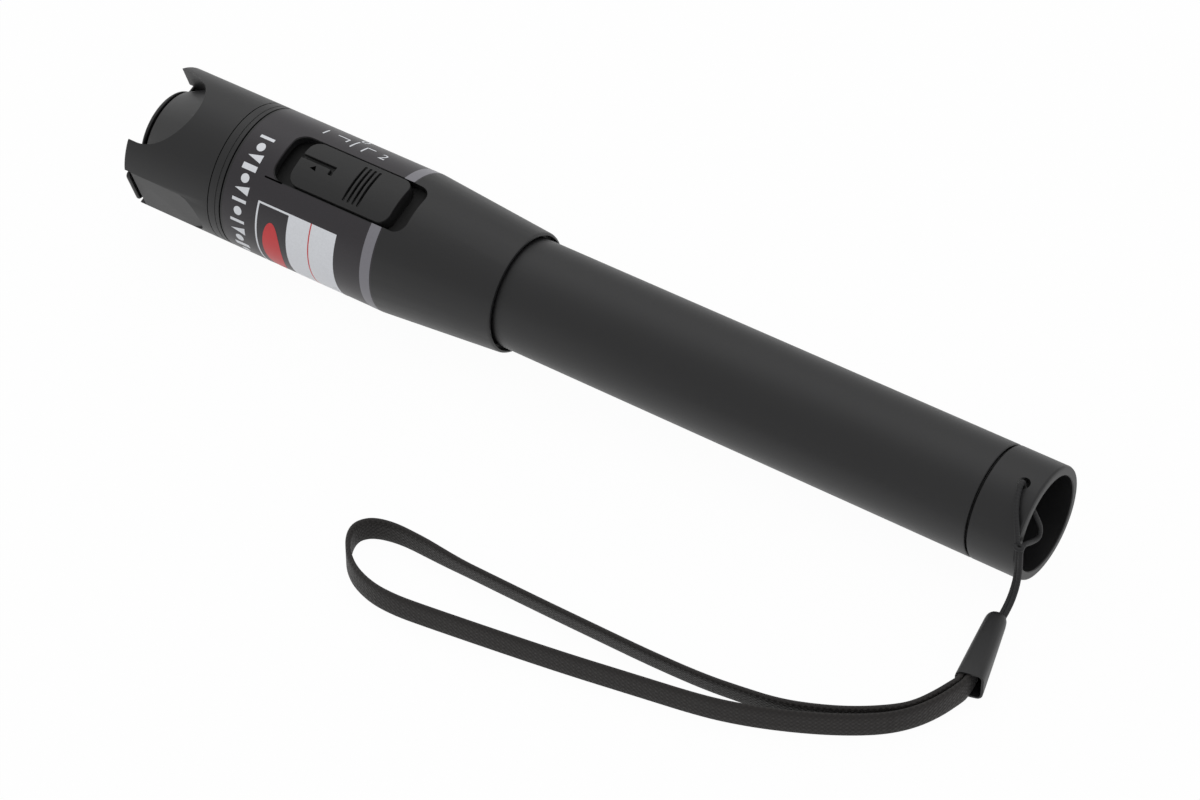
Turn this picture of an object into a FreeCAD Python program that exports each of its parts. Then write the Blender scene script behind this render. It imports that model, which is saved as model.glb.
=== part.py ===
import FreeCAD, Part
import math
import os
import re

import Sketcher
from FreeCAD import Placement, Rotation, Vector

# Pen-type visual fault locator, lying on its side with its wrist lanyard.
#
# Every piece of the tool is drawn in the tool's own straight frame: the axis is X, station 0 is
# the plane of the lug tips at the head, +X runs to the tail, and +Z is the side of the switch.
# One shared Placement then rolls the tool about its axis and lays it down on the barrel's rear
# shoulder and on the tail, so the floor is Z = 0 and the origin is under the tool's middle.
# The lanyard lies on the floor and is drawn there directly.

SIZES = {
    # outside of the head
    "barrel_radius": 13.0,
    "crown_length": 18.7,
    "head_seam": 0.15,
    "collar_length": 2.45,
    "collar_line": 0.12,
    "collar_gap": 0.3,
    "label_seam": 0.4,
    "nose_setback": 1.6,
    "nose_radius": 8.9,
    "scoop_half_width": 8.35,
    "scoop_centre": 1.9,
    "scoop_slope_length": 8.8,
    "flat_distance": 12.0,
    "flat_half_width": 5.08,
    "flat_centre": 11.3,
    "lug_gap": 8.0,
    "lug_chamfer": 0.25,
    # inside of the head
    "socket_radius": 6.5,
    "socket_depth": 9.4,
    "thread_radius": 9.5,
    "thread_clearance": 0.05,
    "collar_bore": 6.05,
    "collar_tail_length": 4.7,
    # dust cap
    "cap_thickness": 0.7,
    "cap_inset": 0.1,
    "cap_seat_gap": 0.05,
    "cap_rim_radius": 8.5,
    "cap_tab_reach": 12.35,
    "cap_tab_half_width": 3.95,
    "cap_tab_corner": 0.9,
    "cap_boss_radius": 7.3,
    "cap_plug_clearance": 0.06,
    "cap_plug_length": 5.0,
    "cap_pocket_radius": 5.0,
    # ferrule port and light source
    "port_radius": 4.4,
    "port_start": 4.2,
    "port_lip": 0.4,
    "port_flange_length": 1.8,
    "port_seat_gap": 0.2,
    "sleeve_radius": 1.6,
    "sleeve_clearance": 0.05,
    "sleeve_slit": 0.3,
    "ferrule_radius": 1.25,
    "ferrule_lip_radius": 1.25,
    "light_hole_radius": 0.8,
    "module_length": 20.0,
    "module_clearance": 0.05,
    "lens_radius": 3.0,
    "lens_clearance": 0.05,
    "lens_front": 1.2,
    "lens_thickness": 1.6,
    "lens_dome_radius": 6.0,
    "spacer_length": 3.0,
    "spacer_bore": 2.4,
    "diode_radius": 2.8,
    "diode_can_radius": 2.2,
    "diode_can_length": 1.8,
    "diode_flange": 1.2,
    "diode_board_radius": 5.15,
    "diode_board_thickness": 1.0,
    "lead_diameter": 0.6,
    "lead_spread": 1.3,
    # barrel
    "barrel_length": 56.2,
    "barrel_bore": 11.5,
    "taper_length": 23.6,
    "taper_end_radius": 11.1,
    "rim_rounding": 0.45,
    "mouth_radius": 10.6,
    "mouth_depth": 1.5,
    "lip_radius": 9.0,
    "lip_length": 0.8,
    "label_length": 32.2,
    "label_thickness": 0.1,
    # switch
    "window_start": 29.9,
    "window_length": 28.0,
    "window_half_width": 5.05,
    "window_corner": 2.4,
    "film_margin": 0.15,
    "slider_length": 21.1,
    "slider_gap": 0.3,
    "slider_top": 13.25,
    "slider_corner": 2.1,
    "slider_travel": 3.0,
    "ride_gap": 0.1,
    "plate_level": 9.3,
    "plate_thickness": 0.7,
    "plate_half_width": 5.6,
    "stem_length": 5.0,
    "stem_half_width": 1.9,
    "foot_reach": 0.9,
    "foot_thickness": 0.8,
    "grip_depth": 0.35,
    "grip_width": 0.45,
    "grip_pitch": 1.0,
    "grip_half_width": 3.8,
    "mark_width": 0.8,
    "mark_depth": 0.9,
    "mark_side": 0.8,
    "hook_reach": 1.5,
    "mark_length": 7.1,
    # circuit board
    "board_level": 4.4,
    "board_thickness": 1.0,
    "board_half_width": 10.05,
    "board_start": 34.6,
    "board_length": 25.2,
    "board_tongue": 5.0,
    "switch_length": 12.0,
    "switch_half_width": 3.4,
    "switch_height": 2.6,
    "knob_half_width": 1.0,
    # battery tube and cells
    "tube_radius": 10.0,
    "tube_wall": 2.4,
    "tube_insert": 15.5,
    "tube_clearance": 0.05,
    "tube_length": 108.1,
    "contact_board_thickness": 1.2,
    "contact_length": 1.3,
    "contact_radius": 2.5,
    "cell_radius": 7.1,
    "cell_length": 48.5,
    "cell_nub_radius": 2.7,
    "cell_nub_length": 1.0,
    # tail
    "spigot_radius": 8.55,
    "spigot_length": 6.2,
    "spigot_bore": 6.8,
    "tail_seam": 0.4,
    "tail_cap_length": 9.2,
    "bulkhead_front": 1.4,
    "bulkhead_thickness": 3.0,
    "skirt_wall": 1.6,
    "skirt_rounding": 0.5,
    "hole_radius": 1.1,
    "hole_from_end": 3.3,
    "hole_turn": -2.0,
    "seal_section": 0.4,
    "seal_clearance": 0.03,
    "seal_recess": 0.6,
    "spring_wire": 0.8,
    "spring_small_radius": 3.0,
    "spring_large_radius": 5.4,
    "spring_turns": 4.0,
    # how the tool lies
    "roll": 21.5,
    # lanyard
    "string_diameter": 0.9,
    "strap_width": 4.4,
    "strap_thickness": 0.9,
    "clamp_length": 17.0,
    "clamp_wide": 4.2,
    "clamp_narrow": 3.0,
    "clamp_wide_height": 5.6,
    "clamp_narrow_height": 4.2,
    "clamp_pocket": 4.0,
}

doc = FreeCAD.newDocument("visual_fault_locator")
sheet = doc.addObject("Spreadsheet::Sheet", "sizes")
for row, (alias, number) in enumerate(SIZES.items(), start=1):
    sheet.set("A%d" % row, alias)
    sheet.set("B%d" % row, repr(number))
    sheet.setAlias("B%d" % row, alias)
doc.recompute()

PIECES = []

# ---------------------------------------------------------------- stations along the axis
COLLAR_START = "crown_length + head_seam"
COLLAR_END = COLLAR_START + " + collar_length"
BARREL_START = COLLAR_END + " + collar_gap"
LABEL_START = BARREL_START + " + label_seam"
LABEL_END = LABEL_START + " + label_length"
BARREL_END = BARREL_START + " + barrel_length"
TAPER_START = BARREL_END + " - taper_length"
SOCKET_END = "nose_setback + socket_depth"
PORT_SEAT = SOCKET_END + " + port_seat_gap"
MODULE_START = PORT_SEAT + " + port_flange_length"
MODULE_END = MODULE_START + " + module_length"
MODULE_RADIUS = "collar_bore - module_clearance"
LENS_START = MODULE_START + " + lens_front"
SPACER_START = LENS_START + " + lens_thickness"
SPACER_END = SPACER_START + " + spacer_length"
DIODE_END = SPACER_END + " + diode_flange"
DIODE_BOARD = DIODE_END + " + 1.2"
TUBE_START = BARREL_END + " - tube_insert"
TUBE_END = TUBE_START + " + tube_length"
LIP_END = TUBE_START + " - contact_board_thickness"
CELL_START = TUBE_START + " + contact_length"
CELL_PITCH = "cell_length + cell_nub_length"
TAIL_START = TUBE_END + " + tail_seam"
TAIL_END = TAIL_START + " + tail_cap_length"
BULKHEAD = TAIL_START + " - bulkhead_front"
SWITCH_MIDDLE = "window_start + window_length / 2"
PLATE_TOP = "plate_level + plate_thickness"
BOARD_TOP = "board_level + board_thickness"
SWITCH_TOP = BOARD_TOP + " + switch_height"
SLIDER_HALF = "window_half_width - slider_gap"


# ---------------------------------------------------------------- small building blocks
def size(name):
    """The number that the sheet holds under this name."""
    return float(sheet.get(name))


def value(text):
    """The value of an expression in the size names, worked out by the sheet itself."""
    sheet.set("C1", "=" + text)
    sheet.recompute()
    return float(sheet.get("C1"))


def cells(text):
    """An expression in plain size names, written with the sheet's name before each."""
    return re.sub(r"[a-z_]+", lambda word: "sizes." + word.group() if word.group() in SIZES else word.group(), text)


def bind(thing, **expressions):
    """Tie properties of a document object to expressions in the size names."""
    for name, text in expressions.items():
        thing.setExpression(name.replace("__", "."), cells(text))
    return thing


def rod(name, radius, start, end):
    """A cylinder along the tool's axis between two stations."""
    body = doc.addObject("Part::Cylinder", name)
    body.Placement = Placement(Vector(), Rotation(Vector(0, 1, 0), 90))
    return bind(body, Radius=radius, Height="(%s) - (%s)" % (end, start), Placement__Base__x=start)


def cone(name, first_radius, last_radius, start, end):
    """A cone along the tool's axis between two stations."""
    body = doc.addObject("Part::Cone", name)
    body.Placement = Placement(Vector(), Rotation(Vector(0, 1, 0), 90))
    return bind(body, Radius1=first_radius, Radius2=last_radius, Height="(%s) - (%s)" % (end, start),
                Placement__Base__x=start)


def post(name, radius, x, across, low, high, axis="z"):
    """A cylinder that stands across the axis, along Z or along Y."""
    body = doc.addObject("Part::Cylinder", name)
    if axis == "y":
        body.Placement = Placement(Vector(), Rotation(Vector(1, 0, 0), -90))
        return bind(body, Radius=radius, Height="(%s) - (%s)" % (high, low), Placement__Base__x=x,
                    Placement__Base__y=low, Placement__Base__z=across)
    return bind(body, Radius=radius, Height="(%s) - (%s)" % (high, low), Placement__Base__x=x,
                Placement__Base__y=across, Placement__Base__z=low)


def block(name, x, y, z):
    """A box from three pairs of expressions, each the low and the high side."""
    body = doc.addObject("Part::Box", name)
    return bind(body, Length="(%s) - (%s)" % (x[1], x[0]), Width="(%s) - (%s)" % (y[1], y[0]),
                Height="(%s) - (%s)" % (z[1], z[0]), Placement__Base__x=x[0], Placement__Base__y=y[0],
                Placement__Base__z=z[0])


def slab(name, x, half_width, z):
    """A box centred across the tool, between two stations and two levels."""
    return block(name, x, ("-(%s)" % half_width, half_width), z)


def cut(name, base, *tools):
    """The base less every tool."""
    result = doc.addObject("Part::Cut", name)
    result.Base = base
    result.Tool = tools[0] if len(tools) == 1 else join(name + "_tools", *tools)
    return result


def join(name, *shapes):
    """All shapes fused into one."""
    result = doc.addObject("Part::MultiFuse", name)
    result.Shapes = list(shapes)
    return result


def overlap(name, *shapes):
    """What all shapes have in common."""
    result = doc.addObject("Part::MultiCommon", name)
    result.Shapes = list(shapes)
    return result


def rounded(name, source, radius, chosen):
    """Fillets of one radius along the edges that chosen(edge) picks."""
    doc.recompute()
    result = doc.addObject("Part::Fillet", name)
    result.Base = source
    result.Edges = [(number, size(radius), size(radius))
                    for number, edge in enumerate(source.Shape.Edges, start=1) if chosen(edge)]
    return result


def bevelled(name, source, width, chosen):
    """Chamfers of one width along the edges that chosen(edge) picks."""
    doc.recompute()
    result = doc.addObject("Part::Chamfer", name)
    result.Base = source
    result.Edges = [(number, size(width), size(width))
                    for number, edge in enumerate(source.Shape.Edges, start=1) if chosen(edge)]
    return result


def along(direction):
    """Picks the straight edges that run along a direction."""
    def chosen(edge):
        return isinstance(edge.Curve, Part.Line) and abs(abs(edge.Curve.Direction.dot(direction)) - 1) < 1e-6
    return chosen


def origin_plane(body, role):
    """One of a body's own origin planes."""
    return next(feature for feature in body.Origin.OriginFeatures if feature.Role == role)


def turned(name, outline):
    """A turned body: a closed outline of (station, radius) pairs spun about the axis."""
    body = doc.addObject("PartDesign::Body", name)
    sketch = body.newObject("Sketcher::SketchObject", name + "_section")
    sketch.AttachmentSupport = [(origin_plane(body, "XZ_Plane"), "")]
    sketch.MapMode = "FlatFace"
    doc.recompute()
    corners = [(value(x), value(r)) for x, r in outline]
    for number, here in enumerate(corners):
        there = corners[(number + 1) % len(corners)]
        sketch.addGeometry(Part.LineSegment(Vector(*here, 0), Vector(*there, 0)), False)
    for number in range(len(corners)):
        sketch.addConstraint(Sketcher.Constraint("Coincident", number, 2, (number + 1) % len(corners), 1))
    for number, (x, r) in enumerate(outline):
        for kind, text, start in (("DistanceX", x, corners[number][0]), ("DistanceY", r, corners[number][1])):
            index = sketch.addConstraint(Sketcher.Constraint(kind, -1, 1, number, 1, start))
            sketch.setExpression("Constraints[%d]" % index, cells(text))
    spin = body.newObject("PartDesign::Revolution", name + "_turning")
    spin.Profile = sketch
    spin.ReferenceAxis = (sketch, ["H_Axis"])
    spin.Angle = 360
    body.Tip = spin
    return body


def keep(label, result):
    """Name a finished piece of the tool; its Label is the name of its file."""
    if result.ExpressionEngine:
        plain = doc.addObject("Part::Refine", label + "_whole")
        plain.Source = result
        result = plain
    result.Label = label
    PIECES.append((label, result, True))
    return result


# ---------------------------------------------------------------- head: crown
crown_blank = rod("crown_blank", "barrel_radius", "0", "crown_length")
scoop_run = slab("scoop_run", ("-1", "scoop_centre"), "scoop_half_width", ("-20", "20"))
scoop_round = post("scoop_round", "scoop_half_width", "scoop_centre", "0", "-20", "20")
scoop_prism = join("scoop_prism", scoop_run, scoop_round)
nose = cone("nose", "nose_radius", "barrel_radius + 0.03", "nose_setback", "nose_setback + scoop_slope_length")
nose_tail = rod("nose_tail", "barrel_radius + 0.03", "nose_setback + scoop_slope_length", "crown_length")
scoops = cut("scoops", scoop_prism, join("nose_keep", nose, nose_tail))
flat_tools = []
for side, (low, high) in (("near", ("-20", "-flat_distance")), ("far", ("flat_distance", "20"))):
    run = block("flat_run_" + side, ("-1", "flat_centre"), (low, high), ("-flat_half_width", "flat_half_width"))
    end = post("flat_end_" + side, "flat_half_width", "flat_centre", "0", low, high, axis="y")
    flat_tools += [run, end]
recesses = [
    block("recess_near", ("-1", "nose_setback"), ("-20", "-lug_gap"), ("-flat_half_width", "flat_half_width")),
    block("recess_far", ("-1", "nose_setback"), ("lug_gap", "20"), ("-flat_half_width", "flat_half_width")),
]
socket = rod("socket", "socket_radius", "-1", SOCKET_END)
thread = rod("thread", "thread_radius", SOCKET_END, "crown_length + 1")
crown_cut = cut("crown_cut", crown_blank, scoops, *flat_tools, *recesses, socket, thread)
keep("head_crown", bevelled("crown_soft", crown_cut, "lug_chamfer",
                            lambda edge: abs(edge.BoundBox.XMax) < 1e-6 and edge.Length < 30))

# ---------------------------------------------------------------- head: dust cap
CAP_BACK = "cap_inset + cap_thickness"
CAP_SEAT = "nose_setback - cap_seat_gap"
cap_disc = rod("cap_disc", "cap_rim_radius", "cap_inset", CAP_BACK)
cap_tab = block("cap_tab", ("cap_inset", CAP_BACK), ("-cap_tab_reach", "cap_tab_reach"),
                ("-cap_tab_half_width", "cap_tab_half_width"))
cap_tabs = rounded("cap_tabs", cap_tab, "cap_tab_corner", along(Vector(1, 0, 0)))
cap_boss = rod("cap_boss", "cap_boss_radius", CAP_BACK, CAP_SEAT)
cap_plug = rod("cap_plug", "socket_radius - cap_plug_clearance", CAP_SEAT, CAP_SEAT + " + cap_plug_length")
cap_pocket = rod("cap_pocket", "cap_pocket_radius", "nose_setback - 0.4", "nose_setback + cap_plug_length + 1")
keep("dust_cap", cut("cap_cut", join("cap_body", cap_disc, cap_tabs, cap_boss, cap_plug), cap_pocket))

# ---------------------------------------------------------------- head: collar
LINE = COLLAR_START + " + 1.5"
keep("head_collar", turned("collar", [
    (PORT_SEAT, "collar_bore"),
    (PORT_SEAT, "thread_radius - thread_clearance"),
    (COLLAR_START, "thread_radius - thread_clearance"),
    (COLLAR_START, "barrel_radius"),
    (LINE, "barrel_radius"),
    (LINE, "barrel_radius - collar_line"),
    (LINE + " + collar_line", "barrel_radius - collar_line"),
    (LINE + " + collar_line", "barrel_radius"),
    (COLLAR_END, "barrel_radius"),
    (COLLAR_END, "barrel_bore - thread_clearance"),
    (BARREL_START + " + collar_tail_length", "barrel_bore - thread_clearance"),
    (BARREL_START + " + collar_tail_length", "collar_bore"),
]))

# ---------------------------------------------------------------- ferrule port and light source
SLEEVE_START = "port_start + port_lip"
SLEEVE_END = MODULE_START + " - port_lip"
keep("ferrule_port", turned("port", [
    ("port_start", "ferrule_lip_radius"),
    ("port_start", "port_radius"),
    (PORT_SEAT, "port_radius"),
    (PORT_SEAT, MODULE_RADIUS),
    (MODULE_START, MODULE_RADIUS),
    (MODULE_START, "ferrule_lip_radius"),
    (SLEEVE_END, "ferrule_lip_radius"),
    (SLEEVE_END, "sleeve_radius + sleeve_clearance"),
    (SLEEVE_START, "sleeve_radius + sleeve_clearance"),
    (SLEEVE_START, "ferrule_lip_radius"),
]))
sleeve_out = rod("sleeve_out", "sleeve_radius", SLEEVE_START, SLEEVE_END)
sleeve_in = rod("sleeve_in", "ferrule_radius", "port_start - 1", MODULE_END)
sleeve_cut = block("sleeve_cut", ("port_start - 1", MODULE_END), ("-sleeve_slit / 2", "sleeve_slit / 2"), ("0", "3"))
keep("ferrule_sleeve", cut("sleeve", sleeve_out, sleeve_in, sleeve_cut))
keep("laser_housing", turned("module", [
    (MODULE_START, "light_hole_radius"),
    (MODULE_START, MODULE_RADIUS),
    (MODULE_END, MODULE_RADIUS),
    (MODULE_END, "diode_board_radius + lens_clearance"),
    (DIODE_BOARD, "diode_board_radius + lens_clearance"),
    (DIODE_BOARD, "lens_radius + lens_clearance"),
    (LENS_START, "lens_radius + lens_clearance"),
    (LENS_START, "light_hole_radius"),
]))
lens_rod = rod("lens_rod", "lens_radius", LENS_START, SPACER_START)
lens_dome = doc.addObject("Part::Sphere", "lens_dome")
bind(lens_dome, Radius="lens_dome_radius", Placement__Base__x=LENS_START + " + lens_dome_radius")
keep("focus_lens", overlap("lens", lens_rod, lens_dome))
keep("lens_spacer", cut("spacer", rod("spacer_out", "lens_radius", SPACER_START, SPACER_END),
                        rod("spacer_in", "spacer_bore", LENS_START, DIODE_END)))
diode_can = rod("diode_can", "diode_can_radius", SPACER_END + " - diode_can_length", SPACER_END)
diode_base = rod("diode_base", "diode_radius", SPACER_END, DIODE_END)
keep("laser_diode", join("diode", diode_can, diode_base,
                         rod("diode_stem", "light_hole_radius", DIODE_END, DIODE_BOARD)))
BOARD_BACK = DIODE_BOARD + " + diode_board_thickness"
keep("diode_board", rod("diode_disc", "diode_board_radius", DIODE_BOARD, BOARD_BACK))


def route(points):
    """Straight runs between the points, joined by arcs that touch both runs."""
    edges = []
    start = points[0]
    turns = []
    for before, corner, after in zip(points, points[1:], points[2:]):
        back, ahead = before - corner, after - corner
        shorter = min(back.Length, ahead.Length)
        back.normalize()
        ahead.normalize()
        half_turn = (math.pi - back.getAngle(ahead)) / 2
        reach = 0.45 * shorter
        radius = reach / math.tan(half_turn)
        first, last = corner + back * reach, corner + ahead * reach
        middle = (first + last) * 0.5
        inward = middle - corner
        depth = radius / math.cos(half_turn) - radius
        inward.normalize()
        edges.append(Part.LineSegment(start, first).toShape())
        edges.append(Part.Arc(first, corner + inward * depth, last).toShape())
        turns.append(radius)
        start = last
    edges.append(Part.LineSegment(start, points[-1]).toShape())
    return Part.Wire(edges), turns


def cord(label, points, diameter, on_tool):
    """A round cord or wire swept along a route; the tightest turn and the volume are printed."""
    wire, turns = route(points)
    path = doc.addObject("Part::Feature", label + "_path")
    path.Shape = wire
    ring = doc.addObject("Part::RegularPolygon", label + "_ring")
    ring.Polygon = 8
    ring.Placement = Placement(points[0], Rotation(Vector(0, 0, 1), points[1] - points[0]))
    bind(ring, Circumradius="%s / 2 * %.5f" % (diameter, math.sqrt(math.pi / (4 * math.sin(math.pi / 4)))))
    sweep = doc.addObject("Part::Sweep", label + "_sweep")
    sweep.Sections = [ring]
    sweep.Spine = (path, ["Edge%d" % (n + 1) for n in range(len(wire.Edges))])
    sweep.Solid = True
    sweep.Frenet = False
    doc.recompute()
    section = math.pi * size(diameter) ** 2 / 4
    print("%s: length %.2f, tightest turn %.2f, volume %.3f against %.3f" % (
        label, wire.Length, min(turns), sweep.Shape.Volume, section * wire.Length))
    sweep.Label = label
    PIECES.append((label, sweep, on_tool))
    return sweep


lead_x = value(BOARD_BACK)
lead_end = size("board_start") + 1.9
lead_under = size("board_level") - size("lead_diameter") / 2
for label, side in (("lead_supply", 1), ("lead_return", -1)):
    across = side * size("lead_spread")
    cord(label, [
        Vector(lead_x, across, 2.2),
        Vector(lead_x + 6.0, across, 2.2),
        Vector(lead_end - 4.5, across * 1.4, lead_under - 0.9),
        Vector(lead_end, across * 1.4, lead_under),
    ], "lead_diameter", True)

# ---------------------------------------------------------------- barrel and its label film
rim = []
for step in range(3):
    turn = math.radians(90 * step / 2)
    x = BARREL_END + " - rim_rounding * %.5f" % (1 - math.sin(turn))
    rim.append((x, "taper_end_radius - rim_rounding * %.5f" % (1 - math.cos(turn))))
barrel_body = turned("barrel_body", [
    (BARREL_START, "barrel_bore"),
    (BARREL_START, "barrel_radius"),
    (LABEL_START, "barrel_radius"),
    (LABEL_START, "barrel_radius - label_thickness"),
    (LABEL_END, "barrel_radius - label_thickness"),
    (LABEL_END, "barrel_radius"),
    (TAPER_START + " + 0.05", "barrel_radius"),
] + rim + [
    (BARREL_END, "mouth_radius"),
    (BARREL_END + " - mouth_depth", "mouth_radius"),
    (BARREL_END + " - mouth_depth", "tube_radius + tube_clearance"),
    (LIP_END, "tube_radius + tube_clearance"),
    (LIP_END, "lip_radius"),
    (LIP_END + " - lip_length", "lip_radius"),
    (LIP_END + " - lip_length", "barrel_bore"),
])


def window(name, margin):
    """The rounded opening of the switch, as a prism through the wall on the switch side."""
    prism = block(name + "_prism", ("window_start - %s" % margin, "window_start + window_length + %s" % margin),
                  ("-window_half_width - %s" % margin, "window_half_width + %s" % margin), (PLATE_TOP, "20"))
    return rounded(name, prism, "window_corner", along(Vector(0, 0, 1)))


keep("barrel", cut("barrel_cut", barrel_body, window("window", "0")))
film_out = rod("film_out", "barrel_radius", LABEL_START, LABEL_END)
film_in = rod("film_in", "barrel_radius - label_thickness", LABEL_START + " - 1", LABEL_END + " + 1")
keep("label_film", cut("film", film_out, film_in, window("film_window", "film_margin")))

# ---------------------------------------------------------------- switch
STEM = (SWITCH_MIDDLE + " - stem_length / 2", SWITCH_MIDDLE + " + stem_length / 2")
plate = slab("plate", ("window_start - 1.4", "window_start + window_length + 1.4"), "plate_half_width",
             ("plate_level", PLATE_TOP))
plate_slot = slab("plate_slot", (STEM[0] + " - slider_travel - slider_gap", STEM[1] + " + slider_travel + slider_gap"),
                  "stem_half_width + slider_gap", ("plate_level - 1", PLATE_TOP + " + 1"))
keep("slide_plate", cut("plate_cut", plate, plate_slot))

SLIDER = (SWITCH_MIDDLE + " - slider_length / 2", SWITCH_MIDDLE + " + slider_length / 2")
button_block = slab("button_block", SLIDER, SLIDER_HALF, (PLATE_TOP + " + ride_gap", "20"))
button_soft = rounded("button_soft", button_block, "slider_corner", along(Vector(0, 0, 1)))
button_round = rod("button_round", "slider_top", SLIDER[0] + " - 1", SLIDER[1] + " + 1")
button = overlap("button", button_soft, button_round)
stem = slab("stem", STEM, "stem_half_width", ("plate_level - slider_gap - foot_thickness", PLATE_TOP + " + 1"))
foot = slab("foot", STEM, "stem_half_width + foot_reach",
            ("plate_level - slider_gap - foot_thickness", "plate_level - slider_gap"))
grips = []
for number in range(4):
    x = SWITCH_MIDDLE + " + 0.8 + grip_pitch * %d" % number
    grips.append(slab("grip%d" % number, (x, x + " + grip_width"), "grip_half_width",
                      ("slider_top - grip_depth - 0.55", "20")))
mark = block("mark", (SLIDER[0] + " - 1", SLIDER[0] + " + mark_length"), ("mark_side - mark_width / 2", "mark_side + mark_width / 2"),
             ("slider_top - mark_depth", "20"))
hook = block("hook", (SLIDER[0] + " + mark_length - mark_width", SLIDER[0] + " + mark_length"),
             ("mark_side - hook_reach", "mark_side"), ("slider_top - mark_depth", "20"))
knob_socket = slab("knob_socket", (SWITCH_MIDDLE + " - knob_half_width - 0.05", SWITCH_MIDDLE + " + knob_half_width + 0.05"),
                   "knob_half_width + 0.05", ("0", PLATE_TOP + " + 0.6"))
keep("switch_slider", cut("slider_cut", join("slider_body", button, stem, foot), *grips, mark, hook, knob_socket))
keep("switch_knob", slab("knob", (SWITCH_MIDDLE + " - knob_half_width", SWITCH_MIDDLE + " + knob_half_width"),
                         "knob_half_width", (BOARD_TOP + " + 0.9", PLATE_TOP + " + 0.55")))
switch_block = slab("switch_block", (SWITCH_MIDDLE + " - switch_length / 2", SWITCH_MIDDLE + " + switch_length / 2"),
                    "switch_half_width", (BOARD_TOP, SWITCH_TOP))
REACH = "slider_travel + knob_half_width + slider_gap"
switch_slot = slab("switch_slot", (SWITCH_MIDDLE + " - (" + REACH + ")", SWITCH_MIDDLE + " + (" + REACH + ")"),
                   "knob_half_width + slider_gap", (BOARD_TOP + " + 0.6", SWITCH_TOP + " + 1"))
keep("slide_switch", cut("switch_cut", switch_block, switch_slot))

# ---------------------------------------------------------------- circuit board
board_main = slab("board_main", ("board_start", "board_start + board_length"), "board_half_width",
                  ("board_level", BOARD_TOP))
board_end = slab("board_end", ("board_start + board_length - 1", LIP_END), "board_tongue", ("board_level", BOARD_TOP))
keep("circuit_board", join("board", board_main, board_end))
keep("driver_chip", block("chip", ("board_start + 5", "board_start + 10"), ("-2", "2"), ("board_level - 1.5", "board_level")))
keep("capacitor", post("capacitor_can", "2", "board_start + 15", "3.5", "board_level - 4", "board_level"))
keep("trim_resistor", block("trimmer", ("board_start + 13", "board_start + 17"), ("-6", "-2.5"),
                            ("board_level - 2", "board_level")))

# ---------------------------------------------------------------- battery tube, contacts and cells
contact_hole = rod("contact_hole", "contact_radius * 0.5", LIP_END + " - 1", TUBE_START + " + 1")
keep("contact_board", cut("contact_disc", rod("contact_blank", "tube_radius - 0.1", LIP_END, TUBE_START), contact_hole))
keep("front_contact", join("contact", rod("contact_head", "contact_radius", TUBE_START, CELL_START),
                           rod("contact_pin", "contact_radius * 0.5 - 0.02", LIP_END + " - 0.8", TUBE_START)))
SPIGOT_END = TAIL_START + " - spigot_length"
keep("battery_tube", turned("tube", [
    (TUBE_START, "tube_radius - tube_wall"),
    (TUBE_START, "tube_radius"),
    (TUBE_END + " - 0.15", "tube_radius"),
    (TUBE_END, "tube_radius - 0.15"),
    (TUBE_END, "spigot_radius + seal_clearance + seal_section * 2 + 0.3"),
    (TUBE_END + " - seal_recess", "spigot_radius + seal_clearance + seal_section * 2 + 0.3"),
    (TUBE_END + " - seal_recess", "spigot_radius + thread_clearance"),
    (SPIGOT_END + " - 0.8", "spigot_radius + thread_clearance"),
    (SPIGOT_END + " - 0.8", "tube_radius - tube_wall"),
]))
for label, start in (("battery_front", CELL_START), ("battery_rear", CELL_START + " + " + CELL_PITCH)):
    nub = rod(label + "_nub", "cell_nub_radius", start, start + " + cell_nub_length")
    can = rod(label + "_can", "cell_radius", start + " + cell_nub_length", start + " + " + CELL_PITCH)
    keep(label, join(label + "_cell", nub, can))

# ---------------------------------------------------------------- tail: spring, seal and cap
CELLS_END = CELL_START + " + (" + CELL_PITCH + ") * 2"
spring_low = CELLS_END + " + spring_wire * 0.5 + 0.1"
spring_high = BULKHEAD + " - spring_wire * 0.5 + 0.05"
spring_rise = value("(" + spring_high + ") - (" + spring_low + ")")
coil_points = []
spring_sides = 10
for step in range(int(size("spring_turns") * spring_sides) + 1):
    part = step / (size("spring_turns") * spring_sides)
    radius = size("spring_small_radius") + (size("spring_large_radius") - size("spring_small_radius")) * part
    turn = 2 * math.pi * step / spring_sides
    coil_points.append(Vector(value(spring_low) + spring_rise * part, radius * math.cos(turn), radius * math.sin(turn)))
coil_path = doc.addObject("Part::Feature", "spring_path")
coil_path.Shape = Part.makePolygon(coil_points)
coil_ring = doc.addObject("Part::RegularPolygon", "spring_ring")
coil_ring.Polygon = 6
coil_ring.Placement = Placement(coil_points[0], Rotation(Vector(0, 0, 1), coil_points[1] - coil_points[0]))
bind(coil_ring, Circumradius="spring_wire / 2")
spring = doc.addObject("Part::Sweep", "spring_sweep")
spring.Sections = [coil_ring]
spring.Spine = (coil_path, ["Edge%d" % (n + 1) for n in range(len(coil_points) - 1)])
spring.Solid = True
spring.Frenet = False
spring.Transition = "Right corner"
keep("tail_spring", spring)

SEAL_MIDDLE = TUBE_END + " - seal_recess + (seal_recess + tail_seam) / 2"
SEAL_RADIUS = "spigot_radius + seal_clearance + seal_section"
seal = []
for step in range(8):
    turn = math.radians(45 * step + 22.5)
    seal.append((SEAL_MIDDLE + " + seal_section * %.5f" % math.cos(turn),
                 SEAL_RADIUS + " + seal_section * %.5f" % math.sin(turn)))
keep("o_ring", turned("seal", seal))

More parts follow.
